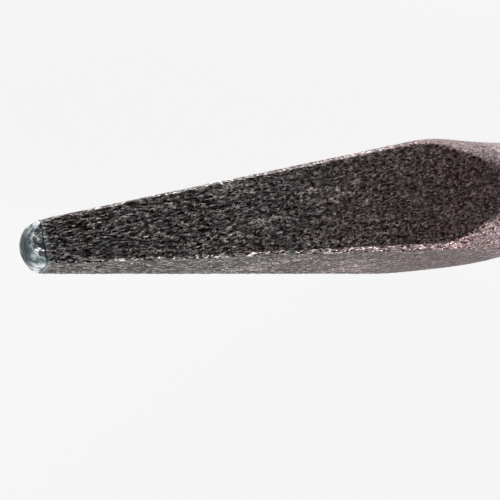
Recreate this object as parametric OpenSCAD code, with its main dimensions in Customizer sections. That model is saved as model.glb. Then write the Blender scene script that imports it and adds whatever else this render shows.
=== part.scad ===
// Point chisel bit for a large rotary or demolition hammer.
// The bit lies along X: the point is at -X and the struck end is the plane x = 0.
// Lengths are millimetres, angles are degrees.

/* [Bar] */
// Overall length, from the tip of the nose to the struck face
overall_l = 280; // [220:5:400]
// Diameter of the round bar and of the shank
bar_d = 18; // [17.5:0.1:18.5]

/* [Forged point] */
// Slope of each of the four flats to the axis
flat_slope = 5.9; // [5:0.1:7]
// Share of a sharp corner's reach that the blunted corners keep
corner_share = 0.96; // [0.94:0.005:0.98]
// Distance from the tip at which the corners start to turn over
shoulder_at = 53.5; // [45:0.5:56]
// Radius of the convex turn at the shoulder
shoulder_r = 22; // [14:1:34]
// Radius of the hollow run from the shoulder into the bar
run_r = 165; // [120:5:220]

/* [Nose] */
// Radius of the ground round nose
nose_r = 3.75; // [3.3:0.05:4]
// Length of the hard nose in front of its seat
nose_l = 2.1; // [1.6:0.1:2.6]
// Diameter of the spigot that holds the nose
spigot_d = 2.8; // [2:0.1:3.4]
// Length of the spigot
spigot_l = 9; // [6:0.5:14]
// Thickness of the braze layer all round the spigot and at the seat
braze_t = 0.08; // [0.05:0.01:0.15]

/* [Shank] */
// Length of the machined shank, from the struck face to the weld
shank_l = 100; // [95:1:120]
// Chamfer at the struck end
end_chamfer = 1.6; // [1:0.1:2.5]
// Depth of the band where the weld's flash is turned off
weld_band_depth = 0.25; // [0.2:0.05:0.5]
// Width of that band on each side of the weld
weld_band_w = 2; // [1:0.25:4]

/* [Drive slots] */
// Width of the three open drive slots
slot_w = 5; // [4:0.25:6]
// Depth of the drive slots below the round
slot_depth = 2.6; // [2:0.1:3]
// Length of the drive slots at full depth
slot_l = 58; // [50:1:62]
// Radius of the milling cutter that runs out at the end of a drive slot
slot_cutter_r = 20; // [12:1:26]
// Half of the angle between the two slots that lie side by side
slot_pair_half = 33; // [31:1:38]

/* [Lock recesses] */
// Width of the two closed lock recesses
lock_w = 8; // [7:0.25:9]
// Depth of the lock recesses below the round
lock_depth = 3; // [2.5:0.1:3.2]
// Length of a lock recess at full depth
lock_l = 20; // [14:1:24]
// Distance from the struck face to the middle of a lock recess
lock_at = 46; // [40:1:50]
// Radius of the ramps at both ends of a lock recess
lock_ramp_r = 10; // [6:1:12]

/* [Hidden] */
$fn = 96;

bar_r = bar_d / 2;
past = 1;                       // how far a cutting solid runs past a face
clear_r = 2 * bar_d;            // a radius that nothing on the bit reaches

// Ratio of the corner's reach to the half width across the flats
corner_k = corner_share * sqrt(2);
// Slope of the blunted corner to the axis
corner_slope = atan(corner_k * tan(flat_slope));
// Where the round nose meets the corner line, measured from the tip
nose_end = nose_r * (1 - sin(corner_slope));
// Reach of the corner line at the tip, and of the flats there
corner_at_tip = nose_r / cos(corner_slope) - nose_r * tan(corner_slope);
flat_at_tip = corner_at_tip / corner_k;

// Convex turn: it touches the corner line at shoulder_at
turn_t = shoulder_at + shoulder_r * sin(corner_slope);
turn_y = corner_reach(shoulder_at) - shoulder_r * cos(corner_slope);
// Hollow run: it touches the bar at run_end, and the convex turn where both slope by run_angle
run_y = bar_r + run_r;
run_angle = acos((run_y - turn_y) / (run_r + shoulder_r));
run_end = turn_t + (run_r + shoulder_r) * sin(run_angle);

// Seat of the hard nose in the forging, measured from the tip
seat_at = nose_l + braze_t;
bore_end = nose_l + spigot_l + braze_t;

// Angle step along the arcs of a turned outline
arc_step = 1.5;

function corner_reach(t) = corner_at_tip + t * tan(corner_slope);

// Points of an arc, as [radius, distance from the tip]; angles are measured from the radial direction
function arc(y, t, r, from, to) =
    let (steps = ceil(abs(to - from) / arc_step))
        [for (i = [0 : steps])
            let (a = from + (to - from) * i / steps)
                [y + r * cos(a), t + r * sin(a)]];

// Half outline of the forging before the flats are cut: round nose, corner line, turn, hollow run and bar
function point_outline(bar_l) = concat(
    [[0, seat_at]],
    arc(0, nose_r, nose_r, asin((seat_at - nose_r) / nose_r), -corner_slope),
    arc(turn_y, turn_t, shoulder_r, -corner_slope, run_angle),
    arc(run_y, run_end, run_r, 180 + run_angle, 180),
    [
        [bar_r, bar_l - weld_band_w - weld_band_depth],
        [bar_r - weld_band_depth, bar_l - weld_band_w],
        [bar_r - weld_band_depth, bar_l],
        [0, bar_l]
    ]
);

// Turns a half outline about the bit's axis, with the tip at x = -overall_l
module turned() {
    translate([-overall_l, 0, 0])
        rotate([0, 90, 0])
            rotate_extrude()
                children();
}

// The slice of the round nose between two distances from the tip
module nose_round(from, to) {
    turned()
        intersection() {
            translate([0, nose_r])
                circle(r = nose_r);
            translate([0, from])
                square([nose_r, to - from]);
        }
}

// The four sloping planes that the flats lie on, as solids outside the point
module outside_flats() {
    for (side = [0 : 3])
        rotate([90 * side, 0, 0])
            translate([-overall_l, 0, flat_at_tip])
                rotate([0, -flat_slope, 0])
                    translate([-bar_d, -clear_r / 2, 0])
                        cube([2 * overall_l, clear_r, clear_r]);
}

// A plain round along the bit's axis between two distances from the tip
module round_between(d, from, to) {
    translate([-overall_l + from, 0, 0])
        rotate([0, 90, 0])
            cylinder(d = d, h = to - from);
}

// The ground nose, with the spigot that sits in the forging
module hard_nose() {
    color([0.62, 0.67, 0.69]) {
        difference() {
            nose_round(0, nose_l);
            outside_flats();
        }
        round_between(spigot_d, nose_l - braze_t, nose_l + spigot_l);
    }
}

// The braze that fills the gap at the seat, round the spigot and at its end
module nose_braze() {
    color([0.72, 0.66, 0.52])
        difference() {
            union() {
                difference() {
                    nose_round(nose_l, seat_at);
                    outside_flats();
                }
                round_between(spigot_d + 2 * braze_t, nose_l, bore_end);
            }
            round_between(spigot_d, nose_l - past, nose_l + spigot_l);
        }
}

// The forging: four flats, blunted corners, flared shoulder and round bar
module forged_point() {
    color([0.33, 0.30, 0.30])
        difference() {
            turned()
                polygon(point_outline(overall_l - shank_l));
            outside_flats();
            round_between(spigot_d + 2 * braze_t, seat_at - past, bore_end);
        }
}

// One open drive slot, cut at the top of the shank; turn is its place round the axis
module drive_slot(turn) {
    floor_r = bar_r - slot_depth;
    rotate([turn, 0, 0]) {
        translate([-slot_l, -slot_w / 2, floor_r])
            cube([slot_l + past, slot_w, clear_r]);
        translate([-slot_l, slot_w / 2, floor_r + slot_cutter_r])
            rotate([90, 0, 0])
                cylinder(r = slot_cutter_r, h = slot_w);
    }
}

// One closed lock recess with ramped ends
module lock_recess(turn) {
    floor_r = bar_r - lock_depth;
    rotate([turn, 0, 0])
        translate([-lock_at, 0, floor_r]) {
            translate([-lock_l / 2, -lock_w / 2, 0])
                cube([lock_l, lock_w, clear_r]);
            for (end = [-1, 1])
                translate([end * lock_l / 2, lock_w / 2, lock_ramp_r])
                    rotate([90, 0, 0])
                        cylinder(r = lock_ramp_r, h = lock_w);
        }
}

// The machined shank: three drive slots, two lock recesses and the struck face
module drive_shank() {
    start = overall_l - shank_l;
    color([0.47, 0.46, 0.45])
        difference() {
            turned()
                polygon([
                    [0, start],
                    [bar_r - weld_band_depth, start],
                    [bar_r - weld_band_depth, start + weld_band_w],
                    [bar_r, start + weld_band_w + weld_band_depth],
                    [bar_r, overall_l - end_chamfer],
                    [bar_r - end_chamfer, overall_l],
                    [0, overall_l]
                ]);
            drive_slot(0);
            drive_slot(180 - slot_pair_half);
            drive_slot(180 + slot_pair_half);
            lock_recess(90);
            lock_recess(-90);
        }
}

hard_nose();
nose_braze();
forged_point();
drive_shank();
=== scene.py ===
"""Looks of a point chisel bit: a forged square point with a ground nose, a round bar and a slotted shank.

The bit lies along X with its tip at the low end. Shapes are worked out in millimetres, as distances t
from the tip and radii from the axis, and go to metres when a mesh is made. The stage, the lamps and
the camera are in metres.
"""

import itertools
import math

import bpy
import numpy as np
from mathutils import Matrix, Vector


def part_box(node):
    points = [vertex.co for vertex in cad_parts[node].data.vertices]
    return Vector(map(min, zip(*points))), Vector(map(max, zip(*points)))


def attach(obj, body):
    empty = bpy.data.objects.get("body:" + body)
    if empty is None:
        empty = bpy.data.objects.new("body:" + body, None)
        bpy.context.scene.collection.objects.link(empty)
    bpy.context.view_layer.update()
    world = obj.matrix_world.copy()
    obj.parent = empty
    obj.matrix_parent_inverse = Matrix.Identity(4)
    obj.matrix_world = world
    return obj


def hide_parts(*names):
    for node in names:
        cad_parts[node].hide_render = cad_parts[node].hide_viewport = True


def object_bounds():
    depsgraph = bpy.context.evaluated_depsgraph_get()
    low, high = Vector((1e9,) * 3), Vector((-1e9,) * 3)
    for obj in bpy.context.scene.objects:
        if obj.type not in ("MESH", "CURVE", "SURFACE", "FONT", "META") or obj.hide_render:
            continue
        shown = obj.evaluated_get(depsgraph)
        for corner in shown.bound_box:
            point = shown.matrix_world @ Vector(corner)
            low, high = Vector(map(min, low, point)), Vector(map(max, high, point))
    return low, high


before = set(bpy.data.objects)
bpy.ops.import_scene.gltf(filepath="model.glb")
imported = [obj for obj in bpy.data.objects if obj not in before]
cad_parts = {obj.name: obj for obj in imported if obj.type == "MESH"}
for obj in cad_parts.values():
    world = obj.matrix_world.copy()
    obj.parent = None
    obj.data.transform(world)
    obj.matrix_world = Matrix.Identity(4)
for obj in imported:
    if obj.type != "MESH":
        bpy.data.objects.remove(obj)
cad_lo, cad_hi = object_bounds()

MM = 0.001

# Sizes that the frame holds
TIP_X = cad_lo.x / MM
OVERALL_L = -TIP_X
SHANK_L = -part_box("drive_shank")[0].x / MM
BAR_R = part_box("drive_shank")[1].z / MM
NOSE_BACK = (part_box("hard_nose")[1].x - cad_lo.x) / MM
BRAZE_BACK = (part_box("nose_braze")[1].x - cad_lo.x) / MM
BRAZE_FRONT = (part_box("nose_braze")[0].x - cad_lo.x) / MM

# Driving sizes of the forged point, in millimetres and degrees, as in the CAD source
FLATS = 4
FLAT_SLOPE = math.radians(5.9)
CORNER_SHARE = 0.96
SHOULDER_AT = 53.5
SHOULDER_R = 22.0
RUN_R = 165.0
NOSE_R = 3.75
SPIGOT_R = 1.4
WELD_BAND_DEPTH = 0.25
WELD_BAND_W = 2.0

# Sizes that follow from them
CORNER_K = CORNER_SHARE * math.sqrt(2)
CORNER_SLOPE = math.atan(CORNER_K * math.tan(FLAT_SLOPE))
CORNER_AT_TIP = NOSE_R / math.cos(CORNER_SLOPE) - NOSE_R * math.tan(CORNER_SLOPE)
FLAT_AT_TIP = CORNER_AT_TIP / CORNER_K
NOSE_END = NOSE_R * (1 - math.sin(CORNER_SLOPE))
TURN_T = SHOULDER_AT + SHOULDER_R * math.sin(CORNER_SLOPE)
TURN_Y = CORNER_AT_TIP + SHOULDER_AT * math.tan(CORNER_SLOPE) - SHOULDER_R * math.cos(CORNER_SLOPE)
RUN_ANGLE = math.acos((BAR_R + RUN_R - TURN_Y) / (RUN_R + SHOULDER_R))
TURN_END = TURN_T + SHOULDER_R * math.sin(RUN_ANGLE)
RUN_END = TURN_T + (RUN_R + SHOULDER_R) * math.sin(RUN_ANGLE)
BRAZE_T = BRAZE_BACK - NOSE_BACK
SEAT_AT = BRAZE_FRONT + BRAZE_T
BORE_R = SPIGOT_R + BRAZE_T
WELD_AT = OVERALL_L - SHANK_L

# Meshes of the forging and the nose
COLUMNS_A_FLAT = 84     # mesh columns over each flat
POINT_ROWS = 262        # rings from the seat of the nose to the bar
BAR_ROWS = 18           # rings along the bar
NOSE_ROWS = 60          # rings on the nose
EDGE_ROUND = 0.06       # how softly a flat meets the round, in millimetres of reach
LIP_ROUND = 0.3         # the same where a flat runs out behind the shoulder
FLAT_BORDER = 0.1       # difference in reach within which flat and round share their texture
SHARP_ANGLE = math.radians(50)      # a sharper turn between faces keeps its edge


# Noise that is the same on every run

NOISE_TABLE = 256       # length of a noise's table, a power of two
NOISE_GAIN = 1.7        # brings a noise to about -1 to 1
RIDGE_SLOPE = 2.6       # more makes the ridges of a noise thinner


def gradient_noise(seed):
    """A smooth noise of points, from about -1 to 1."""
    rng = np.random.default_rng(seed)
    order = rng.permutation(NOISE_TABLE)
    slopes = rng.normal(size=(NOISE_TABLE, 3))
    slopes /= np.linalg.norm(slopes, axis=1)[:, None]
    wrap = NOISE_TABLE - 1

    def noise(p):
        cell = np.floor(p).astype(np.int64)
        part = p - cell
        fade = part ** 3 * (part * (part * 6 - 15) + 10)
        total = np.zeros(len(p))
        for corner in itertools.product((0, 1), repeat=3):
            at = (cell + corner) & wrap
            pick = order[(order[(order[at[:, 0]] + at[:, 1]) & wrap] + at[:, 2]) & wrap]
            weight = np.prod(np.where(corner, fade, 1 - fade), axis=1)
            total += weight * np.sum(slopes[pick] * (part - corner), axis=1)
        return NOISE_GAIN * total

    return noise


def zero_to_one(noise, p):
    """The noise of points, moved to about 0 to 1."""
    return noise(p) * 0.5 + 0.5


def ridged(noise, p):
    """1 on thin crooked ridges and lower between them."""
    return 1 - np.minimum(np.abs(noise(p)) * RIDGE_SLOPE, 1)


def smooth_step(a, b, x):
    """0 up to a and 1 from b, smooth between."""
    s = np.clip((x - a) / (b - a), 0, 1)
    return s * s * (3 - 2 * s)


def smooth_min(a, b, reach):
    """The lower of a and b, with a round turn where they differ by less than reach."""
    near = np.clip(reach - np.abs(a - b), 0, None)
    return np.minimum(a, b) - near * near / (4 * reach)


# Plain form of the forging

def round_reach(t):
    """Radius of the turned outline before the flats are cut."""
    t = np.asarray(t, float)
    nose = np.sqrt(np.clip(NOSE_R ** 2 - (NOSE_R - t) ** 2, 0, None))
    line = CORNER_AT_TIP + t * math.tan(CORNER_SLOPE)
    turn = TURN_Y + np.sqrt(np.clip(SHOULDER_R ** 2 - (t - TURN_T) ** 2, 0, None))
    run = BAR_R + RUN_R - np.sqrt(np.clip(RUN_R ** 2 - (t - RUN_END) ** 2, 0, None))
    return np.select(
        [t < NOSE_END, t < SHOULDER_AT, t < TURN_END, t < RUN_END],
        [nose, line, turn, run],
        BAR_R,
    )


def flat_reach(t):
    """Half width across the flats."""
    return FLAT_AT_TIP + t * math.tan(FLAT_SLOPE)


def column_turns():
    """Turns round the axis of the mesh columns, spread evenly over each flat."""
    across = np.linspace(-1, 1, COLUMNS_A_FLAT, endpoint=False)
    return np.concatenate([quarter * math.pi / 2 + np.arctan(across) for quarter in range(FLATS)])


def from_nearest_flat(turns):
    """Turn from the middle of the nearest flat, from -45 to 45 degrees."""
    return (turns + math.pi / 4) % (math.pi / 2) - math.pi / 4


def point_radius(t, turns):
    """Radius of the plain form, and 1 on a flat and 0 on the round."""
    round_r = round_reach(t)
    flat_r = flat_reach(t) / np.cos(from_nearest_flat(turns))
    on_flat = smooth_step(-FLAT_BORDER, FLAT_BORDER, round_r - flat_r)
    reach = EDGE_ROUND + (LIP_ROUND - EDGE_ROUND) * smooth_step(SHOULDER_AT, TURN_END, t)
    return smooth_min(round_r, flat_r, reach), on_flat


# Texture of the blasted forging. A size of three numbers is in millimetres along X, Y and Z.

GRAIN = gradient_noise(11)
FINE = gradient_noise(12)
WRINKLE = gradient_noise(13)
WAVE = gradient_noise(14)
BEND = gradient_noise(15)
PATCH = gradient_noise(16)

GRAIN_L = 1.0           # length of a grain near the nose
SHORT_GRAIN_L = 0.5     # its length at the shoulder
GRAIN_W = 0.44          # its width along Y and Z
FINE_SIZE = (0.5, 0.3, 0.3)
WRINKLE_SIZE = (7.5, 0.95, 0.95)
WRINKLE_POWER = 3       # more makes the wrinkles thinner
PATCH_SIZE = (9, 3, 3)  # patches that have wrinkles
PATCH_RANGE = (0.05, 0.4)           # values of the patch noise over which the wrinkles come in
WAVE_SIZE = (9, 5, 5)
BEND_SIZE = 1.3         # the same along X, Y and Z
BEND_REACH = 0.35       # how far the grain is bent out of line, in millimetres
BEND_SHIFTS = (0, 7.1, 19.7)        # places in the noise that bend X, Y and Z

# Depths in millimetres
GRAIN_DEPTH = 0.085
FINE_DEPTH = 0.05
WRINKLE_DEPTH = 0.045
WAVE_DEPTH = 0.06
PROUD = 0.12            # lifts the flats, so that the texture lies about the plain form

# Stretches of t over which the texture changes
GRAIN_SHORTENS = (22, 52)
GRAIN_CALMS = (30, 66)
WRINKLES_START = (12, 24)
WRINKLES_END = (48, 60)
BAR_FADE = 12           # length before the bar over which the texture ends

CALM_LOSS = 0.45        # share of the grain's depth that the flats lose as it calms
ROUND_SHARE = 0.12      # share of the grain's depth on the round

# The height inside the grain, from 0 to 1, that the colours follow
GRAIN_SHARE = 0.62
FINE_SHARE = 0.38
WRINKLE_LIFT = 0.5
PLAIN_HEIGHT = 0.5      # where there is no texture


def blasted(p, t, on_flat):
    """Depth of a ring's points below the plain form, and their height inside the grain from 0 to 1.

    The depth is below zero where the surface stands proud of the plain form.
    """
    bends = [BEND(p / BEND_SIZE + shift) for shift in BEND_SHIFTS]
    bent = p + BEND_REACH * np.stack(bends, axis=1)
    grain_l = GRAIN_L - (GRAIN_L - SHORT_GRAIN_L) * smooth_step(*GRAIN_SHORTENS, t)
    grain = ridged(GRAIN, bent / (grain_l, GRAIN_W, GRAIN_W))
    fine = zero_to_one(FINE, bent / FINE_SIZE)
    wave = zero_to_one(WAVE, p / WAVE_SIZE)

    wrinkled = smooth_step(*PATCH_RANGE, PATCH(p / PATCH_SIZE))
    wrinkled *= smooth_step(*WRINKLES_START, t)
    wrinkled *= 1 - smooth_step(*WRINKLES_END, t)
    lines = ridged(WRINKLE, bent / WRINKLE_SIZE) ** WRINKLE_POWER * wrinkled

    flat_share = 1 - CALM_LOSS * smooth_step(*GRAIN_CALMS, t)
    coarse = on_flat * flat_share + (1 - on_flat) * ROUND_SHARE
    depth = coarse * (GRAIN_DEPTH * (1 - grain) + FINE_DEPTH * (1 - fine))
    depth += WRINKLE_DEPTH * (1 - lines) * on_flat + WAVE_DEPTH * (1 - wave)
    depth -= PROUD * on_flat

    height = np.clip(GRAIN_SHARE * grain + FINE_SHARE * fine, 0, 1)
    height = np.clip(height + WRINKLE_LIFT * lines, 0, 1)
    bar = smooth_step(RUN_END - BAR_FADE, RUN_END, t)
    return depth * (1 - bar), height + (PLAIN_HEIGHT - height) * bar


# Dents of the ground nose, in millimetres

DENT = gradient_noise(21)
DENT_FINE = gradient_noise(22)

DENT_SIZE = 0.8
DENT_DEPTH = 0.16
DENT_FINE_SIZE = 0.35
DENT_FINE_DEPTH = 0.05
TIP_FADE = 0.5          # length from the tip over which the dents come in


def dented(p, t):
    """Depth of a ring's points below the round of the nose."""
    depth = DENT_DEPTH * zero_to_one(DENT, p / DENT_SIZE)
    depth += DENT_FINE_DEPTH * zero_to_one(DENT_FINE, p / DENT_FINE_SIZE)
    return depth * smooth_step(0, TIP_FADE, t)


# Lofts

def ring(t, radii, turns):
    """Points round the axis at t; radii is a number or one for each turn."""
    radii = np.broadcast_to(radii, turns.shape)
    at = np.broadcast_to(t, turns.shape)
    return np.stack([TIP_X + at, radii * np.sin(turns), radii * np.cos(turns)], axis=1)


def loft(name, rings, start_t, end_t, heights=None):
    """A closed mesh through the rings, with a point on the axis at each end."""
    columns = len(rings[0])
    poles = [[TIP_X + start_t, 0, 0], [TIP_X + end_t, 0, 0]]
    points = np.concatenate([*rings, poles]) * MM
    start_pole = np.full(columns, columns * len(rings))
    end_pole = start_pole + 1
    here = np.arange(columns)
    after = (here + 1) % columns
    faces = []
    for row in range(len(rings) - 1):
        low = row * columns
        high = low + columns
        faces += np.stack([low + here, high + here, high + after, low + after], axis=1).tolist()
    last = columns * (len(rings) - 1)
    faces += np.stack([start_pole, here, after], axis=1).tolist()
    faces += np.stack([end_pole, last + after, last + here], axis=1).tolist()
    mesh = bpy.data.meshes.new(name)
    mesh.from_pydata(points.tolist(), [], faces)
    mesh.polygons.foreach_set("use_smooth", [True] * len(mesh.polygons))
    if heights is not None:
        values = np.zeros(len(points), np.float32)
        values[:len(heights)] = heights
        mesh.attributes.new("height", "FLOAT", "POINT").data.foreach_set("value", values)
    mesh.validate()
    mesh.set_sharp_from_angle(angle=SHARP_ANGLE)
    piece = bpy.data.objects.new(name, mesh)
    bpy.context.scene.collection.objects.link(piece)
    return piece


def make_forging():
    """The forging from its bore's end, over the seat, the point and the bar, to the weld."""
    turns = column_turns()
    band_at = WELD_AT - WELD_BAND_W
    band_r = BAR_R - WELD_BAND_DEPTH
    point_t = np.linspace(SEAT_AT, RUN_END, POINT_ROWS, endpoint=False)
    bar_t = np.linspace(RUN_END, band_at - WELD_BAND_DEPTH, BAR_ROWS)
    rings = []
    heights = []
    for t in np.concatenate([point_t, bar_t]):
        radii, on_flat = point_radius(t, turns)
        depth, height = blasted(ring(t, radii, turns), t, on_flat)
        rings.append(ring(t, radii - depth, turns))
        heights.append(height)
    seat = [ring(BRAZE_BACK, BORE_R, turns), ring(SEAT_AT, BORE_R, turns)]
    band = [ring(band_at, band_r, turns), ring(WELD_AT, band_r, turns)]
    plain = [np.full(len(turns), PLAIN_HEIGHT)] * 2
    piece = loft(
        "forged_point_skin",
        seat + rings + band,
        BRAZE_BACK,
        WELD_AT,
        np.concatenate(plain + heights + plain),
    )
    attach(piece, "root")
    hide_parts("forged_point")
    return piece


def make_nose():
    """The ground nose and its spigot."""
    turns = column_turns()
    face_t = SEAT_AT - BRAZE_T
    last_turn = math.acos(1 - face_t / NOSE_R)
    rings = []
    for angle in np.linspace(0, last_turn, NOSE_ROWS + 1)[1:]:
        t = NOSE_R * (1 - math.cos(angle))
        radii, _ = point_radius(t, turns)
        rings.append(ring(t, radii - dented(ring(t, radii, turns), t), turns))
    spigot = [ring(face_t, SPIGOT_R, turns), ring(NOSE_BACK, SPIGOT_R, turns)]
    piece = loft("ground_nose_tip", rings + spigot, 0, NOSE_BACK)
    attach(piece, "root")
    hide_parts("hard_nose")
    return piece


# Nodes of a material

MIX_SOCKETS = (0, 6, 7)     # share, first and second colour among the Mix node's inputs
MIX_RESULT = 2              # the mixed colour among its outputs
NOISE_LOW = 0.3             # most of a noise texture lies between these
NOISE_MIDDLE = 0.5
NOISE_HIGH = 0.7


def new_material(name):
    material = bpy.data.materials.new(name)
    material.use_nodes = True
    tree = material.node_tree
    return material, tree, tree.nodes["Principled BSDF"]


def new_metal(name):
    material, tree, metal = new_material(name)
    metal.inputs["Metallic"].default_value = 1.0
    return material, tree, metal


def node(tree, kind, **settings):
    """A node with its settings; a setting whose name isn't the node's own is an input socket."""
    made = tree.nodes.new(kind)
    for name, value in settings.items():
        if hasattr(made, name):
            setattr(made, name, value)
        else:
            made.inputs[name.replace("_", " ")].default_value = value
    return made


def feed(tree, value, socket):
    """Gives a socket its value: another node's output, a colour or a number."""
    if hasattr(value, "links"):
        tree.links.new(value, socket)
    elif hasattr(value, "__len__"):
        socket.default_value = (*value, 1)
    else:
        socket.default_value = value


def place(tree, size):
    """Coordinates of the object in grains of that size, in millimetres along X, Y and Z."""
    coordinates = node(tree, "ShaderNodeTexCoord")
    mapping = node(tree, "ShaderNodeMapping", Scale=[1 / (MM * s) for s in size])
    tree.links.new(coordinates.outputs["Object"], mapping.inputs["Vector"])
    return mapping.outputs["Vector"]


def noise_of(tree, size, **settings):
    """A noise texture in grains of that size; settings are its other inputs."""
    texture = node(tree, "ShaderNodeTexNoise", Scale=1.0, **settings)
    tree.links.new(place(tree, size), texture.inputs["Vector"])
    return texture.outputs["Fac"]


def grey(v):
    return (v, v, v)


def ramp(tree, value, stops):
    """A colour ramp; stops are (position, colour)."""
    made = node(tree, "ShaderNodeValToRGB")
    elements = made.color_ramp.elements
    while len(elements) < len(stops):
        elements.new(0.5)
    for element, (at, colour) in zip(elements, stops):
        element.position = at
        element.color = (*colour, 1)
    tree.links.new(value, made.inputs["Fac"])
    return made.outputs["Color"]


def mix_colour(tree, share, a, b, blend="MIX"):
    made = node(tree, "ShaderNodeMix", data_type="RGBA", blend_type=blend)
    for at, value in zip(MIX_SOCKETS, (share, a, b)):
        feed(tree, value, made.inputs[at])
    return made.outputs[MIX_RESULT]


def maths(tree, operation, a, b=0.0):
    made = node(tree, "ShaderNodeMath", operation=operation)
    for socket, value in zip(made.inputs, (a, b)):
        feed(tree, value, socket)
    return made.outputs["Value"]


def bump(tree, height, depth, under=None):
    """Relief of that depth in millimetres over another relief."""
    made = node(tree, "ShaderNodeBump", Strength=1.0, Distance=depth * MM)
    tree.links.new(height, made.inputs["Height"])
    if under is not None:
        tree.links.new(under, made.inputs["Normal"])
    return made.outputs["Normal"]


def along_bit(tree, start, end):
    """0 at distance start from the tip and 1 at end, smooth between."""
    coordinates = node(tree, "ShaderNodeTexCoord")
    parts = node(tree, "ShaderNodeSeparateXYZ")
    tree.links.new(coordinates.outputs["Object"], parts.inputs["Vector"])
    made = node(tree, "ShaderNodeMapRange", interpolation_type="SMOOTHSTEP")
    made.inputs["From Min"].default_value = (TIP_X + start) * MM
    made.inputs["From Max"].default_value = (TIP_X + end) * MM
    tree.links.new(parts.outputs["X"], made.inputs["Value"])
    return made.outputs["Result"]


def set_roughness(tree, metal, noise, low, high):
    """Lets the roughness of a metal follow a noise, from low to high."""
    rough = ramp(tree, noise, [(NOISE_LOW, grey(low)), (NOISE_HIGH, grey(high))])
    tree.links.new(rough, metal.inputs["Roughness"])


# Materials. Sizes of grain are in millimetres along X, Y and Z, and depths of relief in millimetres.

# Skin of the forging: dark in the valleys, light on the crests, redder towards the bar
SKIN_GRAIN_SIZE = (0.62, 0.24, 0.24)
SKIN_SPECK_SIZE = (0.22, 0.14, 0.14)
STEEL_PATCH_SIZE = (9.0, 5.0, 5.0)
LINE_SLOPE = 6.0        # more makes the light lines thinner
HEIGHT_SHARE = 0.42     # shares of the mesh's height and of the lines in a crest
LINE_SHARE = 0.58
SKIN_LINE_DEPTH = 0.022
SKIN_SPECK_DEPTH = 0.02
FRONT_SKIN = [
    (0.46, (0.015, 0.011, 0.011)),
    (0.68, (0.10, 0.084, 0.081)),
    (0.84, (1.0, 0.95, 0.92)),
]
BACK_SKIN = [
    (0.46, (0.024, 0.009, 0.011)),
    (0.68, (0.12, 0.066, 0.071)),
    (0.86, (0.84, 0.64, 0.63)),
]
SKIN_REDDENS = (20, 66)             # stretch of t from the front skin to the back skin
BAR_COLOUR = (0.26, 0.240, 0.228)
BAR_COLOUR_STARTS = (68, 78)        # stretch of t from the back skin to the bar's colour
GROUND_EDGE = (0.40, 0.45, 0.46)    # colour where the skin is ground off beside the nose
GROUND_EDGE_ENDS = (2.2, 3.0)       # stretch of t from that colour to the skin's
EDGE_JAG = 2.4          # how much the grain shifts that stretch
PATCH_TINT = (0.45, 0.39, 0.385)

# Ground nose: a painted dark reflection at the tip, and patches of random tone behind whose near-white
# ones are painted highlights
SCRATCH_SIZE = (0.12, 0.9, 0.9)
SCRATCH_DEPTH = 0.02
NOSE_PATCH_SIZE = (0.8, 0.8, 0.8)
NOSE_PATCH_DEPTH = 0.45
# Patches of random tone; the near-white stop paints highlights that stand in for glints on the ground
# nose
NOSE_PATCHES_AND_PAINTED_GLINTS = [(0.4, (0.16, 0.22, 0.24)), (0.58, (0.92, 0.97, 0.98))]
# Painted dark reflection: the colour at the very tip is made dark to stand in for the dark surroundings
# that its rim mirrors
NOSE_TIP_PAINTED_DARK_REFLECTION = (0.05, 0.075, 0.085)
NOSE_TIP_DARK_REFLECTION_ENDS = (0.3, 1.3)          # stretch of t from the tip's colour to the patches

# Braze
BRAZE_PATCH_SIZE = (0.4, 0.4, 0.4)
BRAZE_PATCHES = [(0.35, (0.07, 0.065, 0.06)), (0.65, (0.24, 0.22, 0.18))]

# Machined shank, with the fine rings that turning leaves
TURNED_SIZE = (0.16, 60.0, 60.0)
TURNED_DEPTH = 0.012
SHANK_PATCHES = [(0.25, (0.33, 0.32, 0.31)), (0.75, (0.44, 0.43, 0.42))]
SHANK_BEVEL = 0.25      # in millimetres
BEVEL_SEGMENTS = 2
BEVEL_ANGLE = math.radians(35)


def blasted_steel():
    material, tree, steel = new_metal("blasted_steel")
    height = node(tree, "ShaderNodeAttribute", attribute_name="height").outputs["Fac"]
    grain = noise_of(tree, SKIN_GRAIN_SIZE, Detail=2.0, Distortion=0.8)
    speck = noise_of(tree, SKIN_SPECK_SIZE, Detail=2.0)
    patch = noise_of(tree, STEEL_PATCH_SIZE, Detail=3.0)

    off_middle = maths(tree, "SUBTRACT", grain, NOISE_MIDDLE)
    off_line = maths(tree, "ABSOLUTE", off_middle)
    line = maths(tree, "SUBTRACT", 1.0, maths(tree, "MULTIPLY", off_line, LINE_SLOPE))
    from_height = maths(tree, "MULTIPLY", height, HEIGHT_SHARE)
    from_line = maths(tree, "MULTIPLY", line, LINE_SHARE)
    crest = maths(tree, "ADD", from_height, from_line)
    front = ramp(tree, crest, FRONT_SKIN)
    back = ramp(tree, crest, BACK_SKIN)
    colour = mix_colour(tree, along_bit(tree, *SKIN_REDDENS), front, back)
    colour = mix_colour(tree, along_bit(tree, *BAR_COLOUR_STARTS), colour, BAR_COLOUR)

    jag = maths(tree, "MULTIPLY", off_middle, EDGE_JAG)
    behind_edge = maths(tree, "ADD", along_bit(tree, *GROUND_EDGE_ENDS), jag)
    behind_edge = maths(tree, "MAXIMUM", behind_edge, 0.0)
    behind_edge = maths(tree, "MINIMUM", behind_edge, 1.0)
    colour = mix_colour(tree, behind_edge, GROUND_EDGE, colour)
    colour = mix_colour(tree, patch, colour, PATCH_TINT, "OVERLAY")
    tree.links.new(colour, steel.inputs["Base Color"])

    set_roughness(tree, steel, speck, low=0.38, high=0.58)
    relief = bump(tree, line, SKIN_LINE_DEPTH)
    relief = bump(tree, speck, SKIN_SPECK_DEPTH, relief)
    tree.links.new(relief, steel.inputs["Normal"])
    return material


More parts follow.
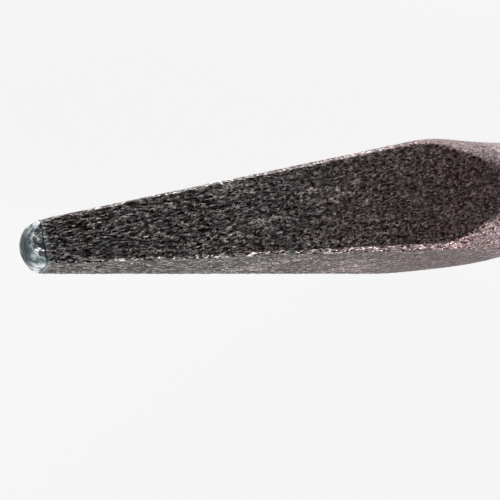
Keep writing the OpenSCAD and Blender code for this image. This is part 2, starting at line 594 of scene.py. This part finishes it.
def ground_steel():
    material, tree, steel = new_metal("ground_steel")
    scratch = noise_of(tree, SCRATCH_SIZE, Detail=3.0)
    patch = noise_of(tree, NOSE_PATCH_SIZE, Detail=4.0)
    # Random tone, with painted highlights where the patches turn near white
    patches_and_painted_glints = ramp(tree, patch, NOSE_PATCHES_AND_PAINTED_GLINTS)
    # Painted dark reflection at the tip, fading into the patches behind it
    colour = mix_colour(tree, along_bit(tree, *NOSE_TIP_DARK_REFLECTION_ENDS), NOSE_TIP_PAINTED_DARK_REFLECTION, patches_and_painted_glints)
    tree.links.new(colour, steel.inputs["Base Color"])
    set_roughness(tree, steel, scratch, low=0.25, high=0.45)
    relief = bump(tree, scratch, SCRATCH_DEPTH)
    relief = bump(tree, patch, NOSE_PATCH_DEPTH, relief)
    tree.links.new(relief, steel.inputs["Normal"])
    return material


def braze_metal():
    material, tree, metal = new_metal("braze_metal")
    patch = noise_of(tree, BRAZE_PATCH_SIZE, Detail=3.0)
    tree.links.new(ramp(tree, patch, BRAZE_PATCHES), metal.inputs["Base Color"])
    set_roughness(tree, metal, patch, low=0.35, high=0.5)
    return material


def machined_steel():
    material, tree, steel = new_metal("machined_steel")
    turned = noise_of(tree, TURNED_SIZE, Detail=3.0)
    patch = noise_of(tree, STEEL_PATCH_SIZE, Detail=6.0, Roughness=0.65)
    tree.links.new(ramp(tree, patch, SHANK_PATCHES), steel.inputs["Base Color"])
    set_roughness(tree, steel, patch, low=0.3, high=0.42)
    tree.links.new(bump(tree, turned, TURNED_DEPTH), steel.inputs["Normal"])
    return material


def finish_node(name, material, bevel=0):
    """Gives a CAD node its material and, where bevel isn't 0, softly rounded edges."""
    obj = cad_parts[name]
    obj.data.materials.clear()
    obj.data.materials.append(material)
    if bevel:
        rounding = obj.modifiers.new("edge_round", "BEVEL")
        rounding.width = bevel * MM
        rounding.segments = BEVEL_SEGMENTS
        rounding.limit_method = "ANGLE"
        rounding.angle_limit = BEVEL_ANGLE
        rounding.harden_normals = False


# Stage

FLOOR_GAP = 0.2         # between the bit and the floor, in millimetres
FLOOR_Z = cad_lo.z - FLOOR_GAP * MM
FLOOR_X = TIP_X * MM / 2            # the floor's middle lies under the bit's
FLOOR_SPINS = 96        # points on each ring
FLOOR_R = 0.4           # radius of the innermost ring
WALL_AT = 2.2           # radius of the wall
WALL_H = 0.62
WALL_CURVE = 0.6        # radius of the turn from the floor into the wall
CURVE_STEPS = 12
PAPER = (0.86, 0.87, 0.88, 1)
WHITE = (1.0, 1.0, 1.0, 1)
WHITE_SHARE = 0.88      # share of plain white in what the camera, reflections and glass show


def floor_profile():
    """Rings of the floor as (radius, height): flat, then a quarter turn up into a low wall."""
    profile = [(FLOOR_R, 0.0), (WALL_AT - WALL_CURVE, 0.0)]
    for step in range(1, CURVE_STEPS + 1):
        a = math.pi / 2 * step / CURVE_STEPS
        profile.append((WALL_AT - WALL_CURVE + WALL_CURVE * math.sin(a), WALL_CURVE * (1 - math.cos(a))))
    profile.append((WALL_AT, WALL_H))
    return profile


def stage_paper():
    """Pale paper that the camera, reflections and glass see as almost plain white."""
    material, tree, surface = new_material("stage_paper")
    surface.inputs["Base Color"].default_value = PAPER
    surface.inputs["Roughness"].default_value = 0.9
    surface.inputs["Specular IOR Level"].default_value = 0.1
    seen = node(tree, "ShaderNodeLightPath")
    shown = maths(tree, "MAXIMUM", seen.outputs["Is Camera Ray"], seen.outputs["Is Glossy Ray"])
    shown = maths(tree, "MAXIMUM", shown, seen.outputs["Is Transmission Ray"])
    white = node(tree, "ShaderNodeEmission", Color=WHITE, Strength=1.0)
    blend = node(tree, "ShaderNodeMixShader")
    links = (
        (maths(tree, "MULTIPLY", shown, WHITE_SHARE), blend.inputs[0]),
        (surface.outputs["BSDF"], blend.inputs[1]),
        (white.outputs["Emission"], blend.inputs[2]),
        (blend.outputs["Shader"], tree.nodes["Material Output"].inputs["Surface"]),
    )
    for output, socket in links:
        tree.links.new(output, socket)
    return material


def make_stage():
    """A round pale floor that sweeps up into a low wall."""
    profile = floor_profile()
    points = [(FLOOR_X, 0, FLOOR_Z)]
    for r, up in profile:
        for k in range(FLOOR_SPINS):
            a = 2 * math.pi * k / FLOOR_SPINS
            points.append((r * math.cos(a) + FLOOR_X, r * math.sin(a), FLOOR_Z + up))
    faces = []
    for k in range(FLOOR_SPINS):
        after = (k + 1) % FLOOR_SPINS
        faces.append((0, 1 + k, 1 + after))
        for row in range(len(profile) - 1):
            low = 1 + row * FLOOR_SPINS
            high = low + FLOOR_SPINS
            faces.append((low + k, high + k, high + after, low + after))
    mesh = bpy.data.meshes.new("stage_floor")
    mesh.from_pydata(points, [], faces)
    mesh.polygons.foreach_set("use_smooth", [True] * len(mesh.polygons))
    floor = bpy.data.objects.new("stage_floor", mesh)
    bpy.context.scene.collection.objects.link(floor)
    mesh.materials.append(stage_paper())


# Light

SKY = [(0.0, 0.6), (0.25, 0.3), (0.5, 0.08), (1.0, 0.02)]      # (sine of the angle up, grey level)
LAMPS_AIM = (-0.2, 0, 0)            # a place on the bit


def make_world():
    """A sky that is pale at the horizon and dark overhead."""
    world = bpy.data.worlds.new("studio")
    bpy.context.scene.world = world
    world.use_nodes = True
    tree = world.node_tree
    coordinates = node(tree, "ShaderNodeTexCoord")
    parts = node(tree, "ShaderNodeSeparateXYZ")
    tree.links.new(coordinates.outputs["Generated"], parts.inputs["Vector"])
    sky = ramp(tree, parts.outputs["Z"], [(at, grey(level)) for at, level in SKY])
    tree.links.new(sky, tree.nodes["Background"].inputs["Color"])
    tree.nodes["Background"].inputs["Strength"].default_value = 1.0


def soft_box(name, place_at, width, height, power):
    """A flat lamp of that size and power, aimed at the bit; power is in watts."""
    lamp = bpy.data.lights.new(name, "AREA")
    lamp.shape = "RECTANGLE"
    lamp.size = width
    lamp.size_y = height
    lamp.energy = power
    obj = bpy.data.objects.new(name, lamp)
    obj.location = place_at
    obj.rotation_euler = (Vector(LAMPS_AIM) - Vector(place_at)).to_track_quat("-Z", "Y").to_euler()
    bpy.context.scene.collection.objects.link(obj)


# Camera, as fitted to the photo's outline

CAMERA_AT = Vector((-0.29679, -0.02012, 0.08172))
CAMERA_LOOKS = Vector((0.48013, 0.17685, -0.85918))
CAMERA_UP = Vector((0.10675, 0.96041, 0.25734))
FOCAL_PIXELS = 727.45
PHOTO_W = 500
SENSOR_W = 36.0
CLIP_START = 0.005
CLIP_END = 20


def make_camera():
    data = bpy.data.cameras.new("camera")
    data.sensor_width = SENSOR_W
    data.lens = FOCAL_PIXELS / PHOTO_W * SENSOR_W
    data.clip_start = CLIP_START
    data.clip_end = CLIP_END
    camera = bpy.data.objects.new("camera", data)
    back = -CAMERA_LOOKS.normalized()
    right = CAMERA_UP.cross(back).normalized()
    up = back.cross(right)
    turn = Matrix((right, up, back)).transposed()
    camera.matrix_world = Matrix.Translation(CAMERA_AT) @ turn.to_4x4()
    bpy.context.scene.collection.objects.link(camera)
    bpy.context.scene.camera = camera


forging = make_forging()
forging.data.materials.append(blasted_steel())
nose = make_nose()
nose.data.materials.append(ground_steel())
finish_node("nose_braze", braze_metal())
finish_node("drive_shank", machined_steel(), SHANK_BEVEL)

make_stage()
make_world()
soft_box("front_light", (0.32, -0.66, 0.30), width=0.6, height=0.25, power=6.6)
soft_box("back_light", (0.1, 0.85, 0.16), width=0.9, height=0.2, power=9.0)
make_camera()

bpy.context.scene.view_settings.view_transform = "Standard"
